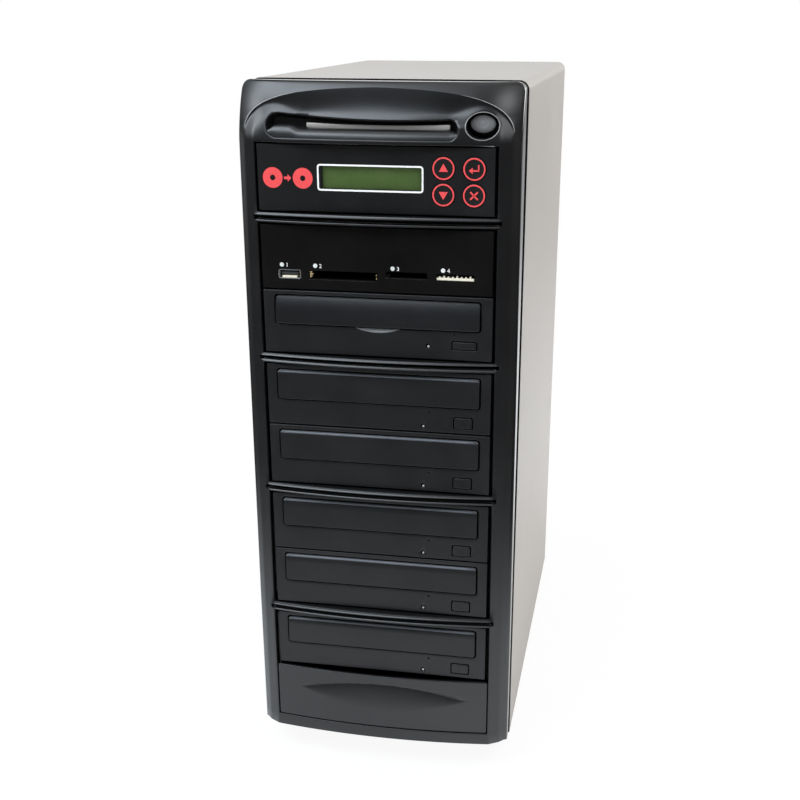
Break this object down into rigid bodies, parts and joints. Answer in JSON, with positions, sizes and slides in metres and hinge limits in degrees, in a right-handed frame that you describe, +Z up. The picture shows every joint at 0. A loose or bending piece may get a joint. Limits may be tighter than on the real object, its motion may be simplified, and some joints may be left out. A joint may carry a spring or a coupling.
{
  "type": "disc duplicator",
  "caption": "Disc duplicator tower: painted steel case with a bowed black front, sliding disc trays, card reader, display and keys.",
  "frame": {"origin": "middle of the footprint, on the floor under the feet", "axes": "+Z up, +X to the right of someone facing the front, the front faces -Y"},
  "size_m": [0.1776, 0.359, 0.4722],
  "materials": {
    "bezel_plastic": "satin black moulded plastic",
    "light_plastic": "translucent warm white",
    "button_plastic": "glossy black",
    "switch_plastic": "black moulded plastic",
    "shell_paint": "satin warm grey paint on sheet steel",
    "zinc_steel": "zinc plated sheet",
    "panel_steel": "zinc plated sheet",
    "foot_rubber": "black rubber",
    "screw_steel": "nickel plated",
    "drive_plastic": "fine grained black plastic",
    "mechanism_plastic": "dark grey moulding",
    "tray_plastic": "black moulding",
    "led_plastic": "clear lens",
    "plate_plastic": "matte black plate",
    "display_glass": "green display pane",
    "board_laminate": "green circuit board",
    "key_plastic": "black key with a red ring",
    "socket_steel": "nickel plated",
    "inlet_plastic": "black moulding",
    "fan_plastic": "black moulding",
    "guard_chrome": "bright wire",
    "cable_rubber": "sheathed cable"
  },
  "bodies": {
    "chassis": {"front_bezel": "bezel_plastic", "lower_bay_cover": "bezel_plastic", "light_strip": "light_plastic", "power_switch": "switch_plastic", "outer_cover": "shell_paint", "base_pan": "zinc_steel", "front_frame": "zinc_steel", "left_drive_rail": "zinc_steel", "right_drive_rail": "zinc_steel", "rear_panel": "panel_steel", "rubber_feet": "foot_rubber", "drive_screws": "screw_steel", "panel_screws": "screw_steel", "drive_cases": "zinc_steel", "drive_bezels": "drive_plastic", "drive_mechanisms": "mechanism_plastic", "drive_leds": "led_plastic", "controller_faceplate": "plate_plastic", "display_module": "display_glass", "key_board": "board_laminate", "unit_trays": "zinc_steel", "main_board": "board_laminate", "card_reader_faceplate": "plate_plastic", "card_sockets": "socket_steel", "usb_socket": "socket_steel", "card_reader_board": "board_laminate", "reader_leds": "led_plastic", "supply_case": "panel_steel", "power_inlet": "inlet_plastic", "rocker_frame": "inlet_plastic", "fan_frames": "fan_plastic", "fan_guards": "guard_chrome", "data_cables": "cable_rubber", "power_cable": "cable_rubber"},
    "disc_tray_0": {"tray_0": "tray_plastic", "tray_door_0": "drive_plastic"},
    "ejector_0": {"eject_button_0": "drive_plastic"},
    "disc_tray_1": {"tray_1": "tray_plastic", "tray_door_1": "drive_plastic"},
    "ejector_1": {"eject_button_1": "drive_plastic"},
    "disc_tray_2": {"tray_2": "tray_plastic", "tray_door_2": "drive_plastic"},
    "ejector_2": {"eject_button_2": "drive_plastic"},
    "disc_tray_3": {"tray_3": "tray_plastic", "tray_door_3": "drive_plastic"},
    "ejector_3": {"eject_button_3": "drive_plastic"},
    "disc_tray_4": {"tray_4": "tray_plastic", "tray_door_4": "drive_plastic"},
    "ejector_4": {"eject_button_4": "drive_plastic"},
    "disc_tray_5": {"tray_5": "tray_plastic", "tray_door_5": "drive_plastic"},
    "ejector_5": {"eject_button_5": "drive_plastic"},
    "power_button_body": {"power_button": "button_plastic"},
    "key_up_body": {"key_up": "key_plastic"},
    "key_down_body": {"key_down": "key_plastic"},
    "key_enter_body": {"key_enter": "key_plastic"},
    "key_escape_body": {"key_escape": "key_plastic"},
    "power_rocker_body": {"power_rocker": "inlet_plastic"},
    "supply_fan_rotor_body": {"supply_fan_rotor": "fan_plastic"},
    "case_fan_rotor_body": {"case_fan_rotor": "fan_plastic"}
  },
  "joints": [
    {"name": "tray_0_slide", "type": "slide", "parent": "chassis", "child": "disc_tray_0", "axis": [0, -1, 0], "range_m": [0, 0.138]},
    {"name": "tray_1_slide", "type": "slide", "parent": "chassis", "child": "disc_tray_1", "axis": [0, -1, 0], "range_m": [0, 0.138]},
    {"name": "tray_2_slide", "type": "slide", "parent": "chassis", "child": "disc_tray_2", "axis": [0, -1, 0], "range_m": [0, 0.138]},
    {"name": "tray_3_slide", "type": "slide", "parent": "chassis", "child": "disc_tray_3", "axis": [0, -1, 0], "range_m": [0, 0.138]},
    {"name": "tray_4_slide", "type": "slide", "parent": "chassis", "child": "disc_tray_4", "axis": [0, -1, 0], "range_m": [0, 0.138]},
    {"name": "tray_5_slide", "type": "slide", "parent": "chassis", "child": "disc_tray_5", "axis": [0, -1, 0], "range_m": [0, 0.138]},
    {"name": "eject_0_press", "type": "slide", "parent": "chassis", "child": "ejector_0", "axis": [0, 1, 0], "range_m": [0, 0.0008], "stiffness_N_per_m": 600},
    {"name": "eject_1_press", "type": "slide", "parent": "chassis", "child": "ejector_1", "axis": [0, 1, 0], "range_m": [0, 0.0008], "stiffness_N_per_m": 600},
    {"name": "eject_2_press", "type": "slide", "parent": "chassis", "child": "ejector_2", "axis": [0, 1, 0], "range_m": [0, 0.0008], "stiffness_N_per_m": 600},
    {"name": "eject_3_press", "type": "slide", "parent": "chassis", "child": "ejector_3", "axis": [0, 1, 0], "range_m": [0, 0.0008], "stiffness_N_per_m": 600},
    {"name": "eject_4_press", "type": "slide", "parent": "chassis", "child": "ejector_4", "axis": [0, 1, 0], "range_m": [0, 0.0008], "stiffness_N_per_m": 600},
    {"name": "eject_5_press", "type": "slide", "parent": "chassis", "child": "ejector_5", "axis": [0, 1, 0], "range_m": [0, 0.0008], "stiffness_N_per_m": 600},
    {"name": "key_up_press", "type": "slide", "parent": "chassis", "child": "key_up_body", "axis": [0, 1, 0], "range_m": [0, 0.0005], "stiffness_N_per_m": 800},
    {"name": "key_down_press", "type": "slide", "parent": "chassis", "child": "key_down_body", "axis": [0, 1, 0], "range_m": [0, 0.0005], "stiffness_N_per_m": 800},
    {"name": "key_enter_press", "type": "slide", "parent": "chassis", "child": "key_enter_body", "axis": [0, 1, 0], "range_m": [0, 0.0005], "stiffness_N_per_m": 800},
    {"name": "key_escape_press", "type": "slide", "parent": "chassis", "child": "key_escape_body", "axis": [0, 1, 0], "range_m": [0, 0.0005], "stiffness_N_per_m": 800},
    {"name": "power_button_press", "type": "slide", "parent": "chassis", "child": "power_button_body", "axis": [0, 1, 0], "range_m": [0, 0.0025], "stiffness_N_per_m": 400},
    {"name": "rocker_tilt", "type": "hinge", "parent": "chassis", "child": "power_rocker_body", "pos_m": [0.046, 0.17045, 0.0692], "axis": [1, 0, 0], "range_deg": [0, 18]},
    {"name": "supply_fan_spin", "type": "hinge", "parent": "chassis", "child": "supply_fan_rotor_body", "pos_m": [-0.03, 0.14945, 0.0502], "axis": [0, 1, 0], "continuous": true},
    {"name": "case_fan_spin", "type": "hinge", "parent": "chassis", "child": "case_fan_rotor_body", "pos_m": [0, 0.14945, 0.336], "axis": [0, 1, 0], "continuous": true}
  ]
}
